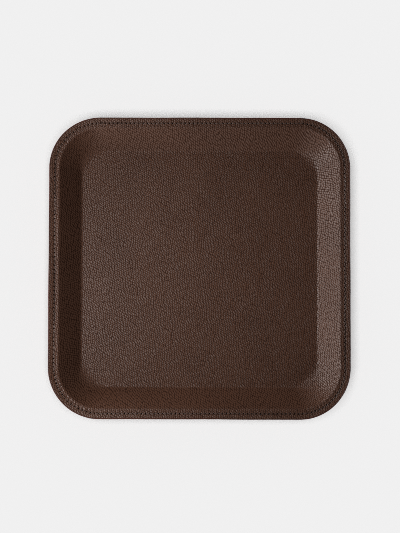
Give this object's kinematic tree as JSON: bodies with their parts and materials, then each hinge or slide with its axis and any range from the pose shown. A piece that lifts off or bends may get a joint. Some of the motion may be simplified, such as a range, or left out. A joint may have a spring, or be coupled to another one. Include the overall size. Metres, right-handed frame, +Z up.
{
  "type": "valet tray",
  "caption": "Shallow square leather tray with rounded corners, sloping walls, a raised roll and a flat stitched rim, for keeping small things together on a table.",
  "frame": {"origin": "middle of the underside, on the surface the tray rests on", "axes": "+Z up out of the tray, +X to the right and +Y away as seen in the picture"},
  "size_m": [0.2, 0.2, 0.02],
  "materials": {
    "grained_calf": "satin",
    "wool_felt": "matte",
    "pressed_fibreboard": "matte",
    "bonded_leather_board": "matte",
    "grey_board": "matte",
    "split_suede": "matte",
    "edge_paint": "satin",
    "waxed_thread": "satin"
  },
  "bodies": {
    "root": {"lining_leather": "grained_calf", "floor_felt": "wool_felt", "moulded_core": "pressed_fibreboard", "rim_stiffener": "bonded_leather_board", "outer_leather": "grained_calf", "base_card": "grey_board", "suede_base": "split_suede", "edge_paint": "edge_paint", "needle_thread": "waxed_thread", "bobbin_thread": "waxed_thread"}
  },
  "joints": []
}
